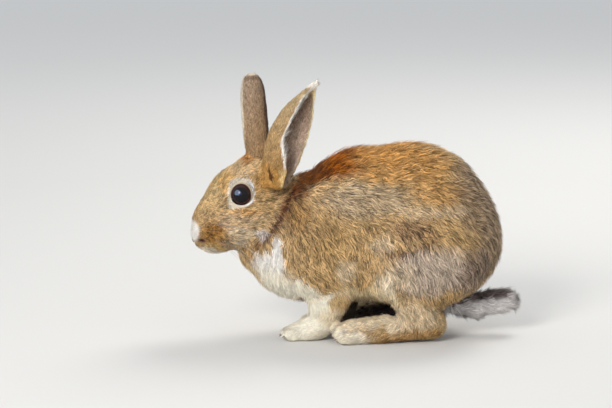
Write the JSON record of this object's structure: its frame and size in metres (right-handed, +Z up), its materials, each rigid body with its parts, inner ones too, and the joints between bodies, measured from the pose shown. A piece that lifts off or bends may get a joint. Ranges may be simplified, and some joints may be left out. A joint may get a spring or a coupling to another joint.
{
  "type": "rabbit",
  "caption": "Young brown rabbit crouching on all fours with upright ears, life size, modelled out to the surface of its coat.",
  "frame": {"origin": "on the floor, below the middle of the bounding box", "axes": "+X towards the tail, -X towards the nose, +Y towards the rabbit's right side, +Z up"},
  "size_m": [0.2276, 0.0972, 0.1851],
  "materials": {
    "coat": "soft ticked fur",
    "back_coat": "soft rust-brown fur",
    "tail_coat": "fluffy fur",
    "ear_coat": "short velvety fur",
    "pale_coat": "short cream fur",
    "eye": "wet gloss"
  },
  "bodies": {
    "root": {"head": "coat", "neck": "coat", "trunk": "back_coat", "tail": "tail_coat", "eye_left": "eye", "eye_right": "eye", "ear_left": "ear_coat", "ear_right": "ear_coat", "shoulder_left": "coat", "shoulder_right": "coat", "forearm_left": "pale_coat", "forearm_right": "pale_coat", "forepaw_left": "pale_coat", "forepaw_right": "pale_coat", "thigh_left": "coat", "thigh_right": "coat", "shank_left": "coat", "shank_right": "coat", "hindfoot_left": "pale_coat", "hindfoot_right": "pale_coat"}
  },
  "joints": []
}
